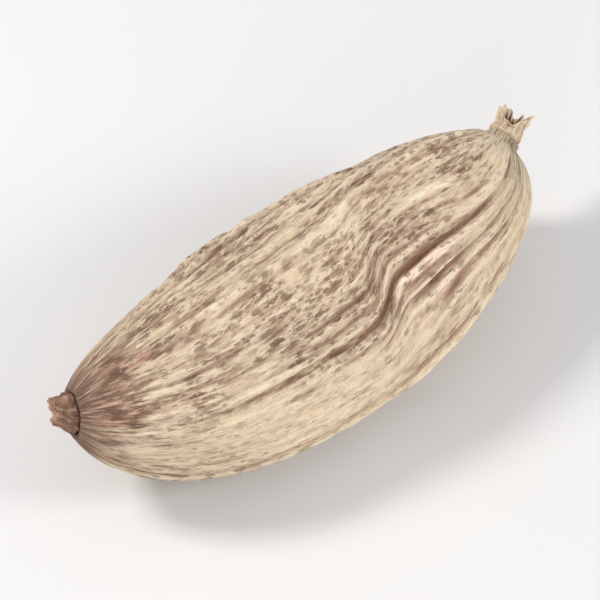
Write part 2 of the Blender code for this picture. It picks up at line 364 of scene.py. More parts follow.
class Graph:
    """Wires up the nodes of one material or node group."""

    def __init__(self, tree: bpy.types.NodeTree) -> None:
        """Takes the node tree to wire."""
        self.tree = tree

    def node(self, kind: str, inputs: dict | None = None, **settings: object) -> bpy.types.Node:
        """Adds a node.

        Args:
            kind: the node's Blender type.
            inputs: values or sockets for its inputs, by name or number.
            settings: its other properties.

        Returns:
            The node.
        """
        made = self.tree.nodes.new(kind)
        for name, value in settings.items():
            setattr(made, name, value)
        for name, value in (inputs or {}).items():
            self.feed(made.inputs[name], value)
        return made

    def feed(self, socket: Socket, value: object) -> None:
        """Links a socket to an input, or sets the input's value."""
        if isinstance(value, Socket):
            self.tree.links.new(value, socket)
        else:
            socket.default_value = value

    def math(self, operation: str, first: object, second: object = 0.0) -> Socket:
        """Returns the result of a math node."""
        return self.node("ShaderNodeMath", {0: first, 1: second}, operation=operation).outputs[0]

    def product(self, first: object, second: object) -> Socket:
        """Returns first times second."""
        return self.math("MULTIPLY", first, second)

    def total(self, first: object, second: object) -> Socket:
        """Returns first plus second."""
        return self.math("ADD", first, second)

    def span(self, value: object, low: float, high: float, out: Range = (0.0, 1.0)) -> Socket:
        """Returns a value eased from the range low to high onto the out range."""
        inputs = {0: value, 1: low, 2: high, 3: out[0], 4: out[1]}
        return self.node("ShaderNodeMapRange", inputs, interpolation_type="SMOOTHSTEP").outputs[0]

    def blend(self, share: object, first: object, second: object) -> Socket:
        """Returns a colour between first and second; a plain colour may be given as three numbers."""
        colours = [(*c, 1.0) if isinstance(c, tuple) else c for c in (first, second)]
        inputs = {0: share, 6: colours[0], 7: colours[1]}
        return self.node("ShaderNodeMix", inputs, data_type="RGBA").outputs[2]

    def lay(self, colour: Socket, *layers: tuple[Socket, float, Colour]) -> Socket:
        """Lays colours over a first one.

        Args:
            colour: the colour at the bottom.
            layers: the mask, strength and colour of each layer, from the bottom up.

        Returns:
            The colour on top.
        """
        for mask, strength, over in layers:
            colour = self.blend(self.product(mask, strength), colour, over)
        return colour

    def attribute(self, name: str) -> bpy.types.Node:
        """Returns a node that reads one of the mesh's own attributes."""
        return self.node("ShaderNodeAttribute", attribute_name=name, attribute_type="GEOMETRY")

    def stretched(self, grain: object, across: object, along: object, seed: object) -> Socket:
        """Returns the grain scaled across and along the pod, moved by a seed."""
        scale = self.node("ShaderNodeCombineXYZ", {0: across, 1: across, 2: along}).outputs[0]
        scaled = self.node("ShaderNodeVectorMath", {0: grain, 1: scale}, operation="MULTIPLY").outputs[0]
        return self.node("ShaderNodeVectorMath", {0: scaled, 1: seed}, operation="ADD").outputs[0]

    def noise(self, place: object, detail: float, roughness: float, distortion: float = 0.0) -> Socket:
        """Returns a soft noise read at a place."""
        inputs = {"Vector": place, "Scale": 1.0, "Detail": detail, "Roughness": roughness}
        return self.node("ShaderNodeTexNoise", {**inputs, "Distortion": distortion}).outputs[0]


class PlantEffects:
    """The effects that the pod's materials share, each a node group that is built once."""

    def __init__(self) -> None:
        """Builds the groups."""
        self.fibres = self.build_fibres()
        self.veins = self.build_veins()
        self.flecks = self.build_flecks()
        self.mottle = self.build_mottle()

    @staticmethod
    def new_group(
        name: str, inputs: dict[str, float], output: str
    ) -> tuple[Graph, bpy.types.Node, bpy.types.Node]:
        """Starts a group that reads the grain and puts out one value.

        Args:
            name: the group's name.
            inputs: its number inputs and their first values.
            output: its output's name.

        Returns:
            The graph to wire, its input node and its output node.
        """
        group = bpy.data.node_groups.new(name, "ShaderNodeTree")
        group.interface.new_socket(name="Grain", in_out="INPUT", socket_type="NodeSocketVector")
        for label, value in inputs.items():
            socket = group.interface.new_socket(name=label, in_out="INPUT", socket_type="NodeSocketFloat")
            socket.default_value = value
        group.interface.new_socket(name=output, in_out="OUTPUT", socket_type="NodeSocketFloat")
        graph = Graph(group)
        return graph, graph.node("NodeGroupInput"), graph.node("NodeGroupOutput")

    @staticmethod
    def drawn_out(graph: Graph, given: bpy.types.Node) -> Socket:
        """Returns the grain, stretched and moved as the group's own inputs say."""
        ends = given.outputs
        return graph.stretched(ends["Grain"], ends["Across"], ends["Along"], ends["Seed"])

    def build_fibres(self) -> bpy.types.NodeTree:
        """Returns long fibres that run with the grain."""
        settings = {"Across": 3.0, "Along": 0.25, "Seed": 0.0}
        graph, given, put = self.new_group("plant fibres", settings, "Fibres")
        fibres = graph.noise(self.drawn_out(graph, given), 4.0, 0.58, 0.25)
        graph.feed(put.inputs["Fibres"], graph.span(fibres, 0.28, 0.72))
        return graph.tree

    def build_veins(self) -> bpy.types.NodeTree:
        """Returns thin raised lines that run with the grain, fork and join again."""
        settings = {"Across": 1.6, "Along": 0.08, "Sharpness": 7.0, "Seed": 0.0}
        graph, given, put = self.new_group("raised veins", settings, "Veins")
        waves = graph.noise(self.drawn_out(graph, given), 1.5, 0.5, 0.2)
        away = graph.math("ABSOLUTE", graph.math("SUBTRACT", waves, 0.5))
        lines = graph.span(graph.product(away, given.outputs["Sharpness"]), 1.0, 0.0)
        graph.feed(put.inputs["Veins"], graph.product(lines, lines))
        return graph.tree

    def build_flecks(self) -> bpy.types.NodeTree:
        """Returns short ragged dashes that run with the grain, each with its own size and strength."""
        settings = {"Across": 4.2, "Along": 1.0, "Size": 0.30, "Cover": 0.5, "Seed": 0.0}
        graph, given, put = self.new_group("dry flecks", settings, "Flecks")
        place = self.drawn_out(graph, given)
        ragged = graph.node("ShaderNodeTexNoise", {"Vector": place, "Scale": 2.6, "Detail": 2.0}).outputs[1]
        pushed = graph.node("ShaderNodeVectorMath", {0: ragged, 3: 0.75}, operation="SCALE").outputs[0]
        place = graph.node("ShaderNodeVectorMath", {0: place, 1: pushed}, operation="ADD").outputs[0]
        cells = graph.node("ShaderNodeTexVoronoi", {"Vector": place, "Scale": 1.0})
        chance = graph.node("ShaderNodeSeparateColor", {0: cells.outputs["Color"]}).outputs
        frayed = graph.noise(graph.stretched(place, 4.0, 0.7, given.outputs["Seed"]), 2.0, 0.6)
        distance = graph.total(cells.outputs["Distance"], graph.span(frayed, 0.30, 0.70, (-0.16, 0.20)))
        kept = graph.span(graph.math("SUBTRACT", given.outputs["Cover"], chance[0]), -0.04, 0.04)
        size = graph.product(given.outputs["Size"], graph.span(chance[1], 0.0, 1.0, (0.55, 1.35)))
        inside = graph.span(graph.math("SUBTRACT", size, distance), -0.08, 0.13)
        strength = graph.product(kept, graph.span(chance[2], 0.0, 1.0, (0.45, 1.0)))
        graph.feed(put.inputs["Flecks"], graph.product(inside, strength))
        return graph.tree

    def build_mottle(self) -> bpy.types.NodeTree:
        """Returns soft, broad patches of colour."""
        settings = {"Across": 0.45, "Along": 0.22, "Seed": 0.0}
        graph, given, put = self.new_group("dry mottle", settings, "Mottle")
        patches = graph.noise(self.drawn_out(graph, given), 5.0, 0.6, 0.4)
        graph.feed(put.inputs["Mottle"], graph.span(patches, 0.33, 0.67))
        return graph.tree


class Finish:
    """A material in the making: its graph, its shader and the shared effects."""

    def __init__(self, name: str, effects: PlantEffects) -> None:
        """Starts the material."""
        self.material = bpy.data.materials.new(name)
        self.material.use_nodes = True
        self.graph = Graph(self.material.node_tree)
        self.shader = self.material.node_tree.nodes["Principled BSDF"]
        self.effects = effects
        self.grain = self.graph.attribute(GRAIN).outputs["Vector"]

    def effect(self, group: bpy.types.NodeTree, **values: object) -> Socket:
        """Places a shared effect with its own values or sockets, and returns what it puts out."""
        made = self.graph.node("ShaderNodeGroup", node_tree=group)
        self.graph.feed(made.inputs["Grain"], self.grain)
        for name, value in values.items():
            self.graph.feed(made.inputs[name], value)
        return made.outputs[0]

    def wear(self, colour: Socket, roughness: Socket, specular: float) -> None:
        """Gives the surface its colour, its roughness and the strength of its gloss."""
        self.graph.feed(self.shader.inputs["Base Color"], colour)
        self.graph.feed(self.shader.inputs["Roughness"], roughness)
        self.shader.inputs["Specular IOR Level"].default_value = specular

    def soften(self, weight: float, depth: float) -> None:
        """Lets light sink into the surface, with the depth in millimetres."""
        self.shader.inputs["Subsurface Weight"].default_value = weight
        self.shader.inputs["Subsurface Radius"].default_value = SINKING_LIGHT
        self.shader.inputs["Subsurface Scale"].default_value = depth * MM

    def bump(self, height: Socket, depth: float, strength: float) -> None:
        """Gives the surface fine relief, with the depth in millimetres."""
        inputs = {"Height": height, "Distance": depth * MM, "Strength": strength}
        self.graph.feed(self.shader.inputs["Normal"], self.graph.node("ShaderNodeBump", inputs).outputs[0])


@dataclass(frozen=True)
class HuskPattern:
    """What the husk's material reads at each place: the mesh's marks and the shared effects."""

    share: Socket
    crest: Socket
    stain: Socket
    groove: Socket
    fibres: Socket
    hairs: Socket
    veins: Socket
    threads: Socket
    dashes: Socket
    ticks: Socket

    @classmethod
    def read(cls, finish: Finish, length: float) -> HuskPattern:
        """Reads the pattern.

        Args:
            finish: the material in the making.
            length: the husk's length in millimetres.

        Returns:
            The pattern, with a socket for each of its parts.
        """
        graph, effects = finish.graph, finish.effects
        along = graph.node("ShaderNodeSeparateXYZ", {0: finish.grain}).outputs[2]
        stain = graph.attribute(STAIN_AND_LIGHT).outputs["Fac"]
        cover = graph.span(stain, -0.40, 0.50, (0.46, 1.00))
        return cls(
            share=graph.math("DIVIDE", along, length),
            crest=graph.attribute(CREST).outputs["Fac"],
            stain=stain,
            groove=graph.attribute(GROOVE).outputs["Fac"],
            fibres=finish.effect(effects.fibres, Across=7.0, Along=1.15, Seed=29.0),
            hairs=finish.effect(effects.fibres, Across=16.0, Along=2.6, Seed=47.0),
            veins=finish.effect(effects.veins, Across=1.9, Along=0.15, Sharpness=9.0, Seed=83.0),
            threads=finish.effect(effects.veins, Across=4.4, Along=0.55, Sharpness=6.0, Seed=89.0),
            dashes=finish.effect(effects.flecks, Across=4.7, Along=1.75, Size=0.42, Cover=cover, Seed=5.0),
            ticks=finish.effect(effects.flecks, Across=8.2, Along=3.4, Size=0.42, Cover=cover, Seed=53.0),
        )


@dataclass(frozen=True)
class HuskFinish:
    """Dry, papery husk: straw ground, pale ridges and dark furrows partly painted as highlight and shade,
    brown dashes, a blotched stalk end.

    Lengths and depths are in millimetres.
    """

    length: float
    straw: Colour = (0.570, 0.425, 0.285)
    pale_straw: Colour = (0.748, 0.588, 0.398)
    dark_streak: Colour = (0.395, 0.270, 0.170)
    pale_fibre: Colour = (0.830, 0.692, 0.500)
    ridge: Colour = (0.830, 0.700, 0.510)
    # Pale crests in the grooves, partly painted glints.
    pale_ridge_glint: Colour = (0.900, 0.725, 0.570)
    red_brown: Colour = (0.400, 0.225, 0.150)
    furrow: Colour = (0.215, 0.105, 0.060)
    fleck: Colour = (0.180, 0.099, 0.056)
    brown: Colour = (0.360, 0.222, 0.146)
    pink_brown: Colour = (0.530, 0.290, 0.204)
    dark_brown: Colour = (0.134, 0.067, 0.041)
    stalk_edge: Colour = (0.205, 0.108, 0.068)
    beak: Colour = (0.740, 0.610, 0.440)
    # Near-white of the lifted flakes, partly painted glints.
    glinting_peel: Colour = (0.890, 0.805, 0.660)
    light_depth: float = 0.30
    relief_depth: float = 0.085

    def lay_straw(self, finish: Finish, pattern: HuskPattern) -> Socket:
        """Returns the straw ground with its streaks, fibres, hairs, veins, and pale ridges that are partly
        painted highlight.
        """
        graph = finish.graph
        mottle = finish.effect(finish.effects.mottle, Across=0.55, Along=0.28, Seed=3.0)
        streaks = finish.effect(finish.effects.fibres, Across=2.6, Along=0.36, Seed=11.0)
        pale = graph.span(graph.total(mottle, pattern.stain), 0.9, -0.2)
        return graph.lay(
            graph.blend(pale, self.straw, self.pale_straw),
            (graph.span(streaks, 0.50, 0.05), 0.42, self.dark_streak),
            (graph.span(pattern.fibres, 0.58, 1.0), 0.45, self.pale_fibre),
            (graph.span(pattern.fibres, 0.42, 0.0), 0.50, self.dark_streak),
            # Paler on the crests of the ribs: partly their own paler colour, partly painted highlight.
            (graph.span(pattern.crest, 0.05, 0.90), 0.38, self.ridge),
            (graph.span(pattern.hairs, 0.35, 0.0), 0.45, self.dark_streak),
            (graph.span(pattern.hairs, 0.65, 1.0), 0.40, self.pale_fibre),
            (pattern.threads, 0.30, self.pale_fibre),
            (pattern.veins, 0.36, self.ridge),
        )

    def lay_stains(self, finish: Finish, pattern: HuskPattern, colour: Socket) -> Socket:
        """Lays the brown patches and the blotched stalk end over the ground.

        Args:
            finish: the material in the making.
            pattern: what it reads at each place.
            colour: the colour so far.

        Returns:
            The colour with its stains.
        """
        graph = finish.graph
        blotch = finish.effect(finish.effects.mottle, Across=1.5, Along=1.0, Seed=61.0)
        wide = finish.effect(finish.effects.mottle, Across=0.8, Along=0.5, Seed=67.0)
        streaky = graph.span(pattern.fibres, 0.1, 0.9, (0.42, -0.42))
        broken = graph.total(streaky, graph.span(blotch, 0.0, 1.0, (-0.25, 0.25)))
        # Brown also gathers where the crest mark is low: in the valleys, and inside the end holes, where it
        # is painted shade.
        broken = graph.total(broken, graph.product(pattern.crest, -0.40))
        brown = graph.span(graph.total(pattern.stain, broken), 0.20, 0.90)
        edge = graph.total(pattern.share, graph.span(wide, 0.0, 1.0, (-0.07, 0.07)))
        edge = graph.total(edge, graph.span(pattern.stain, 0.0, 1.0, (0.05, -0.05)))
        shown = graph.span(pattern.fibres, 0.55, 1.0, (1.0, 0.55))
        shown = graph.product(shown, graph.span(pattern.stain, -0.8, 0.1, (0.30, 1.0)))
        pink = graph.product(graph.span(edge, 0.135, -0.02), graph.span(blotch, 0.0, 0.9, (0.95, 0.38)))
        dark = graph.product(graph.span(edge, 0.12, -0.02), graph.span(blotch, 0.35, 0.75))
        rim = graph.span(pattern.share, 0.045, 0.0)
        return graph.lay(
            colour,
            (brown, 0.66, self.brown),
            (graph.product(pink, shown), 1.0, self.pink_brown),
            (dark, 0.92, self.dark_brown),
            (graph.product(rim, graph.span(pattern.fibres, 0.0, 1.0, (0.95, 0.60))), 1.0, self.stalk_edge),
        )

    def lay_furrows(self, finish: Finish, pattern: HuskPattern, colour: Socket) -> Socket:
        """Lays the pale flecks, the pale beak (partly painted light on the shaded tip), the brown furrows
        with painted shade in them and in the end holes, and the groove crests' painted glints.

        Args:
            finish: the material in the making.
            pattern: what it reads at each place.
            colour: the colour so far.

        Returns:
            The colour with its furrows.
        """
        graph = finish.graph
        pale = finish.effect(finish.effects.flecks, Across=5.2, Along=1.60, Size=0.38, Cover=0.60, Seed=71.0)
        gaps = finish.effect(finish.effects.mottle, Across=1.1, Along=0.75, Seed=41.0)
        unbroken = graph.math("MAXIMUM", graph.span(gaps, 0.15, 0.85, (0.30, 0.90)), pattern.groove)
        flush = graph.product(pattern.groove, graph.span(pattern.crest, 0.6, -0.3, (0.08, 0.70)))
        # The furrow colour is partly the husk's own darker colour in its furrows and partly painted shade
        # there; inside the end holes it is all painted shade.
        furrows = graph.product(graph.span(pattern.crest, -0.16, -0.90), unbroken)
        # The groove's pale crests are partly their own paler colour and partly painted glints.
        glints = graph.product(pattern.groove, graph.span(pattern.crest, 0.15, 0.80))
        return graph.lay(
            colour,
            (pale, 0.45, self.pale_fibre),
            # Paler toward the beak: partly its own paler colour, partly painted light that lifts the shade on
            # the tip.
            (graph.span(pattern.share, 0.84, 0.99), 0.55, self.beak),
            (flush, 1.0, self.red_brown),
            (furrows, 0.88, self.furrow),
            (glints, 0.90, self.pale_ridge_glint),
        )

    def lay_dashes(self, finish: Finish, pattern: HuskPattern, colour: Socket) -> Socket:
        """Lays the brown dashes and ticks, and the near-white of the flakes where the skin lifts, which is
        partly a painted glint.

        Args:
            finish: the material in the making.
            pattern: what it reads at each place.
            colour: the colour so far.

        Returns:
            The finished colour.
        """
        graph = finish.graph
        fleckiness = graph.span(pattern.stain, -0.45, 0.40, (0.44, 0.98))
        lifted = graph.span(pattern.hairs, 0.0, 1.0, (-1.10, 0.70))
        glinting_peel_amount = graph.total(graph.product(pattern.stain, -1.0), lifted)
        return graph.lay(
            colour,
            (graph.product(pattern.dashes, fleckiness), 1.0, self.fleck),
            (graph.product(pattern.ticks, fleckiness), 0.90, self.fleck),
            # Near-white flakes of lifted skin: partly their own pale colour, partly painted glints.
            (graph.span(glinting_peel_amount, 1.70, 3.10), 0.86, self.glinting_peel),
        )

    def make(self, effects: PlantEffects) -> bpy.types.Material:
        """Builds the material."""
        finish = Finish("dry straw husk", effects)
        graph = finish.graph
        pattern = HuskPattern.read(finish, self.length)
        colour = self.lay_straw(finish, pattern)
        colour = self.lay_stains(finish, pattern, colour)
        colour = self.lay_furrows(finish, pattern, colour)
        colour = self.lay_dashes(finish, pattern, colour)
        shine = graph.total(graph.total(pattern.crest, pattern.fibres), pattern.veins)
        finish.wear(colour, graph.span(shine, 0.2, 2.0, (0.78, 0.44)), 0.42)
        finish.soften(0.06, self.light_depth)
        crinkles = finish.effect(effects.mottle, Across=3.2, Along=2.4, Seed=97.0)
        height = graph.product(graph.math("SUBTRACT", crinkles, graph.product(pattern.dashes, 0.30)), 0.42)
        height = graph.total(height, graph.product(pattern.fibres, 0.30))
        height = graph.total(height, graph.product(pattern.hairs, 0.18))
        height = graph.total(height, graph.product(pattern.veins, 0.36))
        height = graph.total(height, graph.product(pattern.threads, 0.22))
        finish.bump(height, self.relief_depth, 1.0)
        return finish.material


@dataclass(frozen=True)
class StalkFinish:
    """Dry broken stalk: reddish brown and fibrous, paler where the pith shows."""

    bark: Colour = (0.300, 0.165, 0.108)
    dark_bark: Colour = (0.120, 0.062, 0.038)
    pith: Colour = (0.520, 0.340, 0.235)
    relief_depth: float = 0.04

    def make(self, effects: PlantEffects) -> bpy.types.Material:
        """Builds the material."""
        finish = Finish("brown broken stalk", effects)
        graph = finish.graph
        mottle = finish.effect(effects.mottle, Across=1.3, Along=0.9, Seed=17.0)
        fibres = finish.effect(effects.fibres, Across=7.0, Along=0.9, Seed=23.0)
        crest = graph.attribute(CREST).outputs["Fac"]
        colour = graph.lay(
            graph.blend(mottle, self.bark, self.dark_bark),
            (graph.span(fibres, 0.5, 1.0), 0.5, self.pith),
            (graph.span(crest, 0.2, 0.9), 0.55, self.pith),
            # Dark bark where the crest mark is low, also on the root where the stalk sinks into the husk:
            # painted shade there.
            (graph.span(crest, -0.1, -0.8), 0.7, self.dark_bark),
        )
        finish.wear(colour, graph.span(fibres, 0.0, 1.0, (0.88, 0.70)), 0.30)
        finish.bump(fibres, self.relief_depth, 0.6)
        return finish.material


@dataclass(frozen=True)
class PaperFinish:
    """Withered flower: pale papery skin with brown fibres, and painted shade in its hollow and the folds of
    its pleats.
    """

    paper: Colour = (0.660, 0.530, 0.375)
    brown_fibre: Colour = (0.330, 0.205, 0.120)
    # Painted shade in the hollow and the pleats' folds.
    hollow: Colour = (0.100, 0.058, 0.035)
    light_depth: float = 0.20
    relief_depth: float = 0.03

    def make(self, effects: PlantEffects) -> bpy.types.Material:
        """Builds the material."""
        finish = Finish("pale papery flower", effects)
        graph = finish.graph
        fibres = finish.effect(effects.fibres, Across=6.0, Along=0.7, Seed=31.0)
        mottle = finish.effect(effects.mottle, Across=1.6, Along=1.0, Seed=37.0)
        crest = graph.attribute(CREST).outputs["Fac"]
        colour = graph.lay(
            graph.blend(graph.span(fibres, 0.55, 0.0, (0.0, 0.7)), self.paper, self.brown_fibre),
            (graph.span(mottle, 0.6, 1.0), 0.45, self.brown_fibre),
            # Dark where the crest mark is low: painted shade inside the hollow and in the pleats' folds.
            (graph.span(crest, -0.05, -0.9), 1.0, self.hollow),
        )
        finish.wear(colour, graph.span(fibres, 0.0, 1.0, (0.85, 0.66)), 0.32)
        finish.soften(0.10, self.light_depth)
        finish.bump(fibres, self.relief_depth, 0.5)
        return finish.material


class Piece:
    """A mesh that is modelled with Blender's own operators, then dressed and handed to the frame."""

    def __init__(self, name: str) -> None:
        """Takes the piece's name."""
        self.name = name
        self.shape: bpy.types.Object | None = None

    @staticmethod
    def select_nothing() -> None:
        """Deselects every object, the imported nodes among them."""
        if bpy.context.object and bpy.context.object.mode != "OBJECT":
            bpy.ops.object.mode_set(mode="OBJECT")
        bpy.ops.object.select_all(action="DESELECT")

    def start_grid(self, round_count: int, along_count: int) -> np.ndarray:
        """Adds a flat grid, to be wrapped round the pod.

        Args:
            round_count: faces round the pod.
            along_count: faces along it.

        Returns:
            Each vertex's share round and share along, as two columns.
        """
        self.select_nothing()
        bpy.ops.mesh.primitive_grid_add(
            x_subdivisions=round_count, y_subdivisions=along_count, size=1.0, location=(0.0, 0.0, 0.0)
        )
        self.shape = bpy.context.object
        self.shape.name = self.name
        return np.clip(self.points()[:, :2] + 0.5, 0.0, 1.0)

    def start_ring(self, sides: int, radius: float, height: float) -> None:
        """Adds an open ring round +Z."""
        self.select_nothing()
        bpy.ops.mesh.primitive_circle_add(vertices=sides, radius=radius, location=(0.0, 0.0, height))
        self.shape = bpy.context.object
        self.shape.name = self.name
        bpy.ops.object.transform_apply(location=True, rotation=True, scale=True)

    def points(self) -> np.ndarray:
        """Returns the mesh's points."""
        found = np.empty(len(self.shape.data.vertices) * 3)
        self.shape.data.vertices.foreach_get("co", found)
        return found.reshape(-1, 3)

    def move_points(self, points: np.ndarray) -> None:
        """Moves the mesh's points."""
        self.shape.data.vertices.foreach_set("co", np.ascontiguousarray(points, dtype=float).ravel())
        self.shape.data.update()

    def mark(self, name: str, values: np.ndarray) -> None:
        """Keeps a number or a vector for each point, for the material to read."""
        kind, slot = ("FLOAT_VECTOR", "vector") if values.ndim == 2 else ("FLOAT", "value")
        attribute = self.shape.data.attributes.new(name, kind, "POINT")
        attribute.data.foreach_set(slot, np.ascontiguousarray(values, dtype=float).ravel())

    def draw_tube(self, sides: int, stations: list[tuple[float, float]]) -> None:
        """Draws a ring out into a tube round +Z, and closes both ends.

        Args:
            sides: points round the tube.
            stations: heights and radii, from the first ring to the last.
        """
        self.start_ring(sides, stations[0][1], stations[0][0])
        bpy.ops.object.mode_set(mode="EDIT")
        bpy.ops.mesh.select_mode(type="EDGE")
        bpy.ops.mesh.select_all(action="SELECT")
        for (height, radius), (higher, wider) in zip(stations, stations[1:]):
            lift = {"value": (0.0, 0.0, higher - height)}
            bpy.ops.mesh.extrude_edges_move(TRANSFORM_OT_translate=lift)
            swell = wider / radius
            bpy.ops.transform.resize(value=(swell, swell, 1.0), center_override=(0.0, 0.0, higher))
        bpy.ops.object.mode_set(mode="OBJECT")
        self.close_holes()

    def close_holes(self) -> None:
        """Closes each open edge with a fan of faces, and turns every face outward."""
        bpy.ops.object.mode_set(mode="EDIT")
        bpy.ops.mesh.select_mode(type="EDGE")
        bpy.ops.mesh.select_all(action="DESELECT")
        bpy.ops.mesh.select_non_manifold(
            extend=False,
            use_wire=False,
            use_boundary=True,
            use_multi_face=False,
            use_non_contiguous=False,
            use_verts=False,
        )
        bpy.ops.mesh.edge_face_add()
        bpy.ops.mesh.poke()
        bpy.ops.mesh.select_all(action="SELECT")
        bpy.ops.mesh.normals_make_consistent(inside=False)
        bpy.ops.object.mode_set(mode="OBJECT")

    def weld_seam(self) -> None:
        """Joins the two edges of a grid that has been wrapped round."""
        bpy.ops.object.mode_set(mode="EDIT")
        bpy.ops.mesh.select_all(action="SELECT")
        bpy.ops.mesh.remove_doubles(threshold=1e-7)
        bpy.ops.object.mode_set(mode="OBJECT")

    def apply(self, kind: str, **settings: object) -> None:
        """Adds a modifier and applies it."""
        self.select_nothing()
        self.shape.select_set(True)
        bpy.context.view_layer.objects.active = self.shape
        modifier = self.shape.modifiers.new(kind.lower(), kind)
        for name, value in settings.items():
            setattr(modifier, name, value)
        bpy.ops.object.modifier_apply(modifier=modifier.name)

    def hand_over(self, material: bpy.types.Material, node: str) -> None:
        """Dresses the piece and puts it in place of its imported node."""
        self.shape.data.materials.clear()
        self.shape.data.materials.append(material)
        self.shape.data.shade_smooth()
        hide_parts(node)
        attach(self.shape, BODY)
        triangles = sum(len(face.vertices) - 2 for face in self.shape.data.polygons)
        log.info("%s: %d triangles", self.name, triangles)


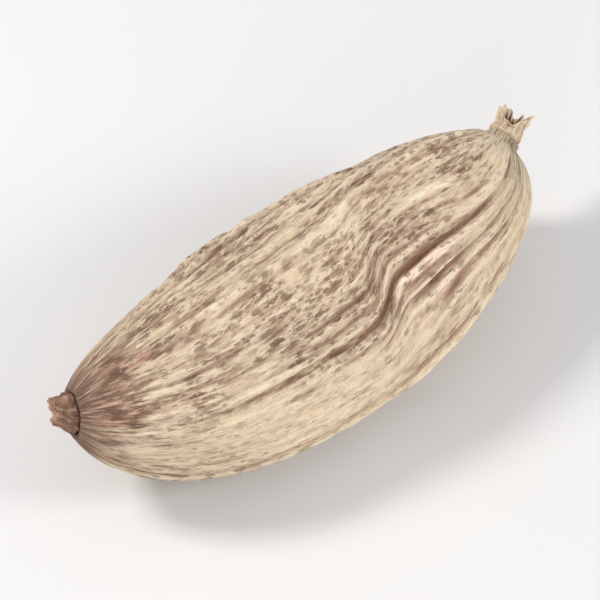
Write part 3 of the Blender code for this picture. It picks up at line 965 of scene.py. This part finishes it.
@dataclass
class Husk:
    """The three-sided ribbed husk, with its fine streaks and wrinkles, in millimetres."""

    form: PodForm
    sides: int = 352
    skin_rows: int = 262
    lip_rows: int = 3
    hole_rows: int = 2
    even_rows: float = 0.35
    stalk_hole: float = 0.64
    beak_hole: float = 0.42
    hole_depth: float = 0.40
    rim_unevenness: float = 0.05
    pucker_height: float = 0.05
    rim_shadow: float = 0.60
    rim_shadow_unevenness: float = 0.35
    vein_height: float = 0.030
    thread_height: float = 0.014
    wrinkle_height: float = 0.018
    crinkle_height: float = 0.009
    dent_height: float = 0.034
    peel_height: float = 0.045
    rib_unevenness: float = 0.22
    groove_height: float = 0.35
    sway: float = 1.3
    peel_stain: float = 3.8
    # Degrees to the side, the millimetres of a full crest, and the step's weight.
    crest_steps: tuple[tuple[float, float, float], ...] = ((2.0, 0.070, 0.5), (5.0, 0.170, 0.8))
    grain_radius: float = 3.5
    sway_net: SkinNoise = SkinNoise(15, 11, 110)
    rib_net: SkinNoise = SkinNoise(30, 24, 111)
    vein_net: SkinNoise = SkinNoise(84, 7, 101)
    thread_net: SkinNoise = SkinNoise(150, 15, 102)
    wrinkle_net: SkinNoise = SkinNoise(58, 40, 103)
    crinkle_net: SkinNoise = SkinNoise(112, 84, 112)
    dent_net: SkinNoise = SkinNoise(19, 13, 104)
    rim_net: SkinNoise = SkinNoise(17, 1, 113)
    pucker_net: SkinNoise = SkinNoise(23, 1, 115)
    shadow_net: SkinNoise = SkinNoise(27, 1, 116)
    blushes: tuple[Blush, ...] = (
        # Broad patches of the seen side.
        Blush(96.0, 0.10, 34.0, 0.09, 0.75),
        Blush(60.0, 0.05, 50.0, 0.06, 0.72),
        Blush(64.0, 0.33, 28.0, 0.075, 0.54),
        Blush(53.0, 0.61, 16.0, 0.11, 0.84),
        Blush(38.0, 0.80, 12.0, 0.06, -0.45),
        Blush(14.0, 0.68, 18.0, 0.12, 0.15),
        Blush(46.5, 0.46, 2.2, 0.045, 1.10),
        Blush(70.0, 0.86, 16.0, 0.06, 0.55),
        Blush(92.0, 0.21, 14.0, 0.05, 0.48),
        Blush(48.0, 0.19, 10.0, 0.04, 0.40),
        Blush(28.0, 0.27, 20.0, 0.12, -0.55),
        Blush(2.0, 0.42, 22.0, 0.20, -0.60),
        Blush(-12.0, 0.90, 22.0, 0.10, -0.50),
        # This pale patch at the tip is painted light that lifts the shade there.
        Blush(45.0, 0.90, 30.0, 0.08, -0.55),
        Blush(101.0, 0.62, 9.0, 0.07, 0.30),
        Blush(113.0, 0.43, 10.0, 0.06, 0.55),
        # Narrow streaks at the stalk end.
        Blush(82.0, 0.100, 5.0, 0.030, -1.30),
        Blush(62.0, 0.115, 5.0, 0.030, -1.30),
        Blush(40.0, 0.105, 5.0, 0.030, -1.20),
        Blush(98.0, 0.115, 5.0, 0.030, -1.20),
        Blush(72.0, 0.085, 4.0, 0.035, 0.90),
        Blush(51.0, 0.090, 4.0, 0.035, 0.90),
        Blush(90.0, 0.100, 4.0, 0.035, 0.90),
        # Narrow streaks a quarter of the way along.
        Blush(58.0, 0.24, 2.4, 0.055, -1.10),
        Blush(72.0, 0.26, 2.4, 0.050, -1.10),
        Blush(85.0, 0.25, 2.2, 0.050, -1.00),
        Blush(46.0, 0.25, 2.2, 0.045, -1.00),
        Blush(65.0, 0.22, 2.0, 0.040, 0.60),
        Blush(78.0, 0.28, 2.0, 0.040, 0.60),
        # Narrow streaks along the upper edge.
        Blush(92.0, 0.57, 2.6, 0.055, -1.10),
        Blush(106.0, 0.52, 2.4, 0.060, -1.10),
        Blush(99.0, 0.42, 2.2, 0.045, -1.00),
        Blush(108.0, 0.66, 2.6, 0.050, -1.00),
        Blush(99.0, 0.68, 2.2, 0.040, 0.70),
        Blush(96.0, 0.50, 2.2, 0.045, 0.80),
        Blush(102.0, 0.58, 1.8, 0.050, 1.00),
        Blush(95.0, 0.64, 1.8, 0.045, 1.00),
        Blush(110.0, 0.58, 1.8, 0.045, 1.00),
        # Narrow brown streaks toward the beak.
        Blush(60.0, 0.88, 1.7, 0.050, 1.00),
        Blush(78.0, 0.87, 1.7, 0.050, 1.00),
        Blush(48.0, 0.87, 1.7, 0.045, 0.90),
        # Small patches of the seen side.
        Blush(98.0, 0.33, 7.0, 0.04, -0.60),
        Blush(66.0, 0.485, 12.0, 0.035, 0.50),
        Blush(58.0, 0.235, 9.0, 0.03, 0.75),
        Blush(31.0, 0.35, 11.0, 0.075, 0.52),
        Blush(5.0, 0.51, 9.0, 0.03, 0.50),
        Blush(25.0, 0.46, 10.0, 0.060, 0.50),
        Blush(33.0, 0.18, 9.0, 0.030, 0.50),
        Blush(96.0, 0.155, 8.0, 0.03, -0.70),
        Blush(38.0, 0.25, 6.0, 0.03, -0.40),
        Blush(104.0, 0.43, 8.0, 0.07, -0.65),
        Blush(80.0, 0.40, 8.0, 0.035, -0.40),
        Blush(61.0, 0.63, 6.0, 0.06, -0.50),
        # These two pale patches on the lower side toward the beak are painted light, lifting skin that faces
        # away from the key light.
        Blush(4.0, 0.77, 18.0, 0.06, -0.98),
        Blush(4.0, 0.88, 18.0, 0.05, -0.85),
        Blush(4.0, 0.06, 14.0, 0.03, -0.90),
        Blush(76.0, 0.16, 8.0, 0.035, -0.60),
        Blush(84.0, 0.48, 9.0, 0.10, -0.25),
        # Broad patches of the back and the underside.
        Blush(150.0, 0.38, 24.0, 0.10, 0.50),
        Blush(185.0, 0.62, 26.0, 0.13, -0.35),
        Blush(-150.0, 0.25, 30.0, 0.12, 0.40),
        Blush(-80.0, 0.55, 34.0, 0.20, -0.25),
        Blush(-45.0, 0.16, 24.0, 0.08, 0.20),
        Blush(128.0, 0.74, 18.0, 0.08, 0.55),
    )
    # Raised flakes of lifted skin; their near-white colour is partly painted glints.
    glinting_peels: tuple[Blush, ...] = (
        Blush(62.5, 0.712, 2.0, 0.046, 1.15),
        Blush(59.5, 0.772, 1.5, 0.024, 1.00),
        Blush(171.0, 0.30, 1.7, 0.030, 0.8),
        Blush(-128.0, 0.44, 1.7, 0.034, 0.8),
    )
    grooves: tuple[Blush, ...] = (
        Blush(26.0, 0.620, 12.0, 0.085, 1.0),
        Blush(7.0, 0.685, 13.0, 0.085, 0.8),
        Blush(29.0, 0.770, 7.0, 0.080, 0.5),
        Blush(30.0, 0.480, 4.0, 0.060, 0.5),
        Blush(148.0, 0.60, 7.0, 0.090, 0.6),
        Blush(-91.0, 0.64, 7.0, 0.090, 0.5),
    )

    @property
    def lip_share(self) -> float:
        """The rounded lip's share of the way down a hole."""
        return self.lip_rows / (self.lip_rows + self.hole_rows)

    def shares(self, share_along: np.ndarray) -> tuple[np.ndarray, np.ndarray]:
        """Turns grid rows into places along the husk.

        Args:
            share_along: shares along the grid.

        Returns:
            Shares of the husk's length, and how far each point has gone into a hole: 0 on the skin,
            then up to 1 at the hole's floor, negative at the stalk end.
        """
        inner = self.lip_rows + self.hole_rows
        row = share_along * (self.skin_rows + 2 * inner)
        step = np.clip((row - inner) / self.skin_rows, 0.0, 1.0)
        crowded = (1.0 - self.even_rows) * 0.5 * (1.0 - np.cos(math.pi * step))
        share = self.even_rows * step + crowded
        before = np.clip((inner - row) / inner, 0.0, 1.0)
        after = np.clip((row - inner - self.skin_rows) / inner, 0.0, 1.0)
        return share, after - before

    def relief(self, grown: np.ndarray, share: np.ndarray) -> np.ndarray:
        """Works out the skin's relief: ribs, veins that fork, wrinkles and dents.

        Args:
            grown: angles round the pod.
            share: shares of its length.

        Returns:
            Heights in millimetres.
        """
        slim = self.form.slimness(share)
        pressed = self.form.pressed(grown)
        swayed = grown + math.radians(self.sway) * self.sway_net.sample(grown, share)
        ribs = self.form.rib_relief(swayed, share) * slim**0.75
        ribs *= 1.0 + self.rib_unevenness * self.rib_net.sample(grown, share)
        ribs *= 1.0 + self.groove_height * covered(self.grooves, grown, share)
        fine = self.vein_height * self.vein_net.crests(swayed, share)
        fine = fine + self.thread_height * self.thread_net.crests(swayed, share)
        wrinkles = self.wrinkle_height * self.wrinkle_net.sample(grown, share)
        fine += wrinkles + self.crinkle_height * self.crinkle_net.sample(grown, share)
        dents = self.dent_height * self.dent_net.sample(grown, share)
        glinting_peels = self.peel_height * covered(self.glinting_peels, grown, share)
        return ribs + self.form.swell_relief(grown, share) + fine * slim**0.8 * pressed + dents * slim + glinting_peels

    def crest(self, grown: np.ndarray, share: np.ndarray, relief: np.ndarray) -> np.ndarray:
        """Works out how far each place stands above the skin beside it, close by and further off.

        Args:
            grown: angles round the pod.
            share: shares of its length.
            relief: the relief there.

        Returns:
            1 on a crest to -1 in a furrow.
        """
        slim = self.form.slimness(share)
        crest = np.zeros_like(relief)
        for reach, height, weight in self.crest_steps:
            step = math.radians(reach)
            beside = 0.5 * (self.relief(grown - step, share) + self.relief(grown + step, share))
            crest += weight * (relief - beside) / (height * slim**0.75)
        return np.clip(crest, -1.0, 1.0)

    def hole_radius(self, grown: np.ndarray, inside: np.ndarray) -> np.ndarray:
        """Returns the radius of the uneven hole at the nearer end."""
        uneven = 1.0 + self.rim_unevenness * self.rim_net.around(grown)
        return np.where(inside > 0.0, self.beak_hole, self.stalk_hole) * uneven

    def rolled(self, grown: np.ndarray, inside: np.ndarray) -> np.ndarray:
        """Returns how far along the spine the puckered rims roll out and the holes sink in."""
        depth = np.abs(inside)
        sinking = smoothstep(0.5 * self.lip_share, 1.0, depth) * self.hole_depth
        puckers = self.pucker_height + self.pucker_height * self.pucker_net.around(grown)
        rolling = puckers * np.sin(math.pi * np.clip(depth / self.lip_share, 0.0, 1.0))
        return (rolling - sinking) * np.sign(inside)

    def mark_patches(self, piece: Piece, grown: np.ndarray, share: np.ndarray) -> None:
        """Keeps the stains, the painted light of the glinting flakes and the pale shaded patches, and the
        grooves, for the material to read.
        """
        glinting_peel_amount = self.peel_stain * covered(self.glinting_peels, grown, share)
        piece.mark(STAIN_AND_LIGHT, covered(self.blushes, grown, share) - glinting_peel_amount)
        piece.mark(GROOVE, covered(self.grooves, grown, share))

    def build(self, material: bpy.types.Material) -> bpy.types.Object:
        """Builds the husk.

        Args:
            material: the husk's finish.

        Returns:
            The finished piece.
        """
        piece = Piece("fine_husk")
        place = piece.start_grid(self.sides, self.skin_rows + 2 * (self.lip_rows + self.hole_rows))
        grown = place[:, 0] * FULL_TURN
        share, inside = self.shares(place[:, 1])
        relief = self.relief(grown, share)
        crest = self.crest(grown, share, relief)
        closing = smoothstep(0.0, self.lip_share, np.abs(inside))
        radius = self.form.girth(share) * self.form.section(grown) + relief
        radius = radius * (1.0 - closing) + self.hole_radius(grown, inside) * closing
        inward = self.rolled(grown, inside)
        points = self.form.spine(share) + inward[:, None] * self.form.heading(share)
        points = points + radius[:, None] * self.form.outward(self.form.turned(grown, share), share)
        piece.move_points(self.form.settle(points))
        across = np.stack([np.cos(grown), np.sin(grown)], axis=-1) * self.grain_radius
        along = self.form.husk_length * share + inward
        piece.mark(GRAIN, np.concatenate([across, along[:, None]], axis=1))
        # The rim shadow below pushes the crest mark down inside the holes, where the finish paints it dark:
        # painted shade.
        shadow = self.rim_shadow + self.rim_shadow_unevenness * self.shadow_net.around(grown)
        piece.mark(CREST, np.where(inside == 0.0, crest, crest * (1.0 - closing) - shadow * closing))
        self.mark_patches(piece, grown, share)
        piece.weld_seam()
        piece.close_holes()
        piece.hand_over(material, "husk")
        return piece.shape


@dataclass
class StalkStub:
    """The short broken stalk at the husk's blunt end, in millimetres."""

    form: PodForm
    sides: int = 40
    root_radius: float = 0.62
    root_depth: float = 0.40
    length: float = 0.62
    furthest: float = 1.3
    lean: float = 0.20
    tear: float = 0.13
    splinter: float = 0.085
    ridges: int = 11
    ridge_share: float = 0.050
    rough_share: float = 0.085
    grain_share: float = 0.035
    grain_radius: float = 0.9
    bark: Outline = (
        (0.0, 1.02),
        (0.10, 1.09),
        (0.22, 1.12),
        (0.35, 1.07),
        (0.48, 1.00),
        (0.62, 0.92),
        (0.76, 0.85),
        (0.90, 0.78),
    )
    broken_end: Outline = (
        (-0.10, 0.74),
        (-0.03, 0.66),
        (0.0, 0.55),
        (-0.03, 0.42),
        (-0.07, 0.30),
        (-0.05, 0.16),
    )
    strength_net: SkinNoise = SkinNoise(6, 2, 114)
    rough_net: SkinNoise = SkinNoise(17, 6, 105)
    grain_net: SkinNoise = SkinNoise(40, 4, 106)
    splinter_net: SkinNoise = SkinNoise(36, 5, 107)

    def stations(self) -> list[tuple[float, float]]:
        """Returns heights along the stub and radii, from the root to the middle of the break."""
        top = self.length + self.tear
        return [
            (-self.root_depth, 0.9 * self.root_radius),
            *((self.length * share, self.root_radius * width) for share, width in self.bark),
            *((top + height, self.root_radius * width) for height, width in self.broken_end),
        ]

    def build(self, material: bpy.types.Material) -> bpy.types.Object:
        """Builds the stub.

        Args:
            material: the stalk's finish.

        Returns:
            The finished piece.
        """
        piece = Piece("broken_stalk")
        piece.draw_tube(self.sides, self.stations())
        piece.apply("SUBSURF", levels=2, render_levels=2)
        points = piece.points()
        turn = np.arctan2(points[:, 1], points[:, 0])
        wide = np.hypot(points[:, 0], points[:, 1])
        reach = np.clip(points[:, 2] / self.length, 0.0, self.furthest)
        along = np.clip(reach / self.furthest, 0.0, 1.0)
        shown = smoothstep(-0.05, 0.15, reach)
        skirt = smoothstep(0.20, 0.55, wide / self.root_radius)
        broken = smoothstep(0.78, 1.08, reach)
        strength = 0.65 + 0.35 * self.strength_net.sample(turn, along)
        ridge = strength * np.cos(self.ridges * turn + 2.4 * np.sin(2.0 * turn) + 0.9 * reach)
        rough = self.rough_net.sample(turn, along)
        grain = self.grain_net.crests(turn, along)
        relief = self.ridge_share * ridge + self.rough_share * rough + self.grain_share * grain
        swell = 1.0 + shown * skirt * relief
        tear = broken * self.tear * (np.cos(2.0 * turn + 1.0) + 0.5 * np.cos(5.0 * turn)) * 0.6
        splinters = broken * self.splinter * self.splinter_net.sample(turn, np.clip(wide / 0.7, 0.0, 1.0))
        points[:, :2] *= swell[:, None]
        points[:, 2] += tear + splinters
        points[:, 1] += self.lean * reach**1.5
        piece.move_points(points)
        round_grain = (self.grain_radius * np.clip(wide, 0.05, None))[:, None]
        across = np.stack([np.cos(turn), np.sin(turn)], axis=-1) * round_grain
        piece.mark(GRAIN, np.concatenate([across, points[:, 2:]], axis=1))
        pith = broken * (1.0 - smoothstep(0.45, 0.75, wide / self.root_radius))
        # Below the husk's surface the crest mark drops, so the finish paints the root dark: painted shade.
        piece.mark(CREST, np.clip(0.7 * ridge * skirt * shown + pith - 0.8 * (1.0 - shown), -1.0, 1.0))
        piece.shape.data.transform(self.form.end_matrix(End.STALK))
        piece.hand_over(material, "stalk_stub")
        return piece.shape


@dataclass
class FlowerRemnant:
    """The withered papery tube at the tip of the neck, in millimetres."""

    form: PodForm
    sides: int = 60
    root_radius: float = 0.36
    root_depth: float = 0.52
    length: float = 1.05
    furthest: float = 1.2
    rim_radius: float = 0.62
    wall: float = 0.16
    tear: float = 0.17
    shred: float = 0.09
    lobes: int = 5
    lean: float = 0.24
    split_at: float = math.radians(65)
    split_width: float = math.radians(38)
    split_depth: float = 0.46
    back_width: float = math.radians(55)
    back_height: float = 0.12
    pleats: int = 13
    pleat_share: float = 0.06
    crumple_share: float = 0.08
    lobe_share: float = 0.08
    grain_radius: float = 0.9
    outside: Outline = (
        (0.0, 0.36),
        (0.06, 0.50),
        (0.16, 0.61),
        (0.32, 0.57),
        (0.54, 0.52),
        (0.66, 0.525),
        (0.78, 0.54),
        (0.90, 0.58),
    )
    hollow: Outline = (
        (0.90, 0.44),
        (0.80, 0.40),
        (0.68, 0.34),
        (0.58, 0.28),
        (0.46, 0.14),
    )
    shred_net: SkinNoise = SkinNoise(34, 2, 108)
    crumple_net: SkinNoise = SkinNoise(22, 9, 109)

    def stations(self) -> list[tuple[float, float]]:
        """Returns heights and radii: up the outside, over the rim and down the hollow."""
        return [
            (-self.root_depth, 0.9 * self.root_radius),
            *((self.length * share, radius) for share, radius in self.outside),
            (self.length, self.rim_radius),
            (self.length, self.rim_radius - 0.5 * self.wall),
            *((self.length * share, radius) for share, radius in self.hollow),
        ]

    def draw(self) -> tuple[Piece, np.ndarray]:
        """Draws the smooth tube.

        Returns:
            The piece, and how far down the hollow each of its points lies: 0 outside, 1 at the floor.
        """
        piece = Piece("withered_flower")
        stations = self.stations()
        piece.draw_tube(self.sides, stations)
        rows = np.arange(len(stations)).repeat(self.sides)
        rim_row = len(stations) - len(self.hollow) - 1
        depth = np.zeros(len(piece.shape.data.vertices))
        depth[: len(rows)] = np.clip((rows - rim_row) / (len(self.hollow) - 1), 0.0, 1.0)
        depth[len(rows):] = np.where(piece.points()[len(rows):, 2] > 0.0, 1.0, 0.0)
        piece.mark("depth", depth)
        piece.apply("SUBSURF", levels=2, render_levels=2)
        depth = np.empty(len(piece.shape.data.vertices))
        piece.shape.data.attributes["depth"].data.foreach_get("value", depth)
        return piece, depth

    def torn(self, turn: np.ndarray, reach: np.ndarray, lobes: np.ndarray) -> np.ndarray:
        """Works out how the rim is torn.

        Args:
            turn: angles round the tube.
            reach: shares of its length.
            lobes: the waves of its lobes there.

        Returns:
            How far each point is raised, negative where the tube is split.
        """
        tatters = 0.7 * lobes + 0.6 * np.cos(2.0 * turn - 0.8) + 0.5 * np.cos(9.0 * turn + 1.0)
        away = angle_between(turn, self.split_at) / self.split_width
        split = self.split_depth * smoothstep(0.45, 1.0, reach) * np.exp(-(away**2))
        calm = 1.0 - 0.85 * np.exp(-(away**2))
        behind = angle_between(turn, self.split_at + math.pi) / self.back_width
        back = self.back_height * np.exp(-(behind**2))
        shreds = self.shred * self.shred_net.around(turn)
        return smoothstep(0.62, 1.0, reach) * (self.tear * tatters * calm + shreds + back) - split

    def build(self, material: bpy.types.Material) -> bpy.types.Object:
        """Builds the remnant.

        Args:
            material: the withered flower's finish.

        Returns:
            The finished piece.
        """
        piece, depth = self.draw()
        points = piece.points()
        turn = np.arctan2(points[:, 1], -points[:, 0])
        reach = np.clip(points[:, 2] / self.length, 0.0, self.furthest)
        shown = smoothstep(0.0, 0.2, reach)
        lobes = np.cos(self.lobes * turn + 0.5)
        pleat = np.cos(self.pleats * turn + 2.0 * np.sin(3.0 * turn) + 1.2 * reach)
        crumple = self.crumple_net.sample(turn, np.clip(reach / self.furthest, 0.0, 1.0))
        relief = self.pleat_share * pleat + self.crumple_share * crumple + self.lobe_share * lobes * reach
        swell = 1.0 + shown * relief
        points[:, :2] *= swell[:, None]
        points[:, 2] += self.torn(turn, reach, lobes)
        nod = np.arctan2(2.0 * self.lean * reach, self.length)
        points[:, 2] -= points[:, 1] * np.sin(nod)
        points[:, 1] += self.lean * reach**2
        piece.move_points(points)
        across = np.stack([np.cos(turn), np.sin(turn)], axis=-1) * self.grain_radius
        piece.mark(GRAIN, np.concatenate([across, points[:, 2:]], axis=1))
        # The crest mark falls with the depth down the hollow and in the pleats' folds, where the finish
        # paints shade.
        piece.mark(CREST, np.clip(0.4 * pleat * shown - 1.4 * depth, -1.0, 1.0))
        piece.shape.data.transform(self.form.end_matrix(End.BEAK))
        piece.hand_over(material, "flower_remnant")
        return piece.shape


@dataclass(frozen=True)
class SoftLight:
    """A square studio light, with its place and size in millimetres."""

    name: str
    place: tuple[float, float, float]
    size: float
    watts: float
    colour: Colour = (1.0, 1.0, 1.0)

    def make(self, target: Vector) -> None:
        """Adds the light, aimed at the target."""
        lamp = bpy.data.lights.new(self.name, "AREA")
        lamp.shape = "SQUARE"
        lamp.size = self.size * MM
        lamp.energy = self.watts
        lamp.color = self.colour
        shown = bpy.data.objects.new(self.name, lamp)
        shown.location = Vector(self.place) * MM
        shown.rotation_euler = (target - shown.location).to_track_quat("-Z", "Y").to_euler()
        bpy.context.scene.collection.objects.link(shown)


@dataclass
class Studio:
    """The pale floor, the soft lights and the camera, in millimetres and degrees."""

    azimuth: float = -40.0
    elevation: float = 50.0
    lens: float = 180.0
    view_width: float = 20.5
    look_at: tuple[float, float, float] = (-0.65, 0.55, 3.3)
    floor_width: float = 900.0
    floor_colour: Colour = (0.710, 0.702, 0.694)
    world_colour: Colour = (0.930, 0.950, 1.000)
    world_strength: float = 0.60
    lights: tuple[SoftLight, ...] = (
        SoftLight("key light", (-60.0, 75.0, 110.0), 34.0, 0.132, (1.0, 0.975, 0.94)),
        SoftLight("side light", (-90.0, -75.0, 42.0), 60.0, 0.040),
        SoftLight("front light", (90.0, -110.0, 75.0), 50.0, 0.130, (1.0, 0.985, 0.96)),
    )

    def make_floor(self) -> None:
        """Adds the plain pale floor."""
        Piece.select_nothing()
        bpy.ops.mesh.primitive_plane_add(size=self.floor_width * MM, location=(0.0, 0.0, 0.0))
        floor = bpy.context.object
        floor.name = "floor"
        material = bpy.data.materials.new("pale floor")
        material.use_nodes = True
        graph = Graph(material.node_tree)
        place = graph.node("ShaderNodeTexCoord").outputs["Object"]
        inputs = {"Vector": place, "Scale": 60.0, "Detail": 3.0}
        cloud = graph.node("ShaderNodeTexNoise", inputs).outputs[0]
        darker = tuple(0.97 * part for part in self.floor_colour)
        shader = material.node_tree.nodes["Principled BSDF"]
        graph.feed(shader.inputs["Base Color"], graph.blend(cloud, self.floor_colour, darker))
        shader.inputs["Roughness"].default_value = 0.85
        floor.data.materials.append(material)

    def make_camera(self) -> None:
        """Adds the camera, which looks down on the pod from the stalk's side."""
        azimuth, elevation = math.radians(self.azimuth), math.radians(self.elevation)
        level = math.cos(elevation)
        back = Vector((math.sin(azimuth) * level, -math.cos(azimuth) * level, math.sin(elevation)))
        lens = bpy.data.cameras.new("camera")
        lens.lens = self.lens
        distance = self.view_width * MM * self.lens / lens.sensor_width
        lens.clip_start = 0.1 * distance
        lens.clip_end = 20.0 * distance
        camera = bpy.data.objects.new("camera", lens)
        camera.location = Vector(self.look_at) * MM + back * distance
        camera.rotation_euler = (-back).to_track_quat("-Z", "Y").to_euler()
        bpy.context.scene.collection.objects.link(camera)
        bpy.context.scene.camera = camera

    def make_lights(self) -> None:
        """Adds the lights and the sky's even light."""
        for light in self.lights:
            light.make(Vector(self.look_at) * MM)
        world = bpy.data.worlds.new("studio")
        world.use_nodes = True
        sky = world.node_tree.nodes["Background"]
        sky.inputs["Color"].default_value = (*self.world_colour, 1.0)
        sky.inputs["Strength"].default_value = self.world_strength
        bpy.context.scene.world = world
        bpy.context.scene.view_settings.view_transform = "Standard"

    def make(self) -> None:
        """Sets up the whole studio."""
        self.make_floor()
        self.make_camera()
        self.make_lights()


def main() -> None:
    """Builds the studio and the pod's three pieces."""
    logging.basicConfig(level=logging.INFO, format="%(message)s")
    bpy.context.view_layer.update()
    Studio().make()
    form = PodForm()
    effects = PlantEffects()
    Husk(form).build(HuskFinish(form.husk_length).make(effects))
    StalkStub(form).build(StalkFinish().make(effects))
    FlowerRemnant(form).build(PaperFinish().make(effects))
    bpy.context.view_layer.update()


if __name__ == "__main__":
    main()
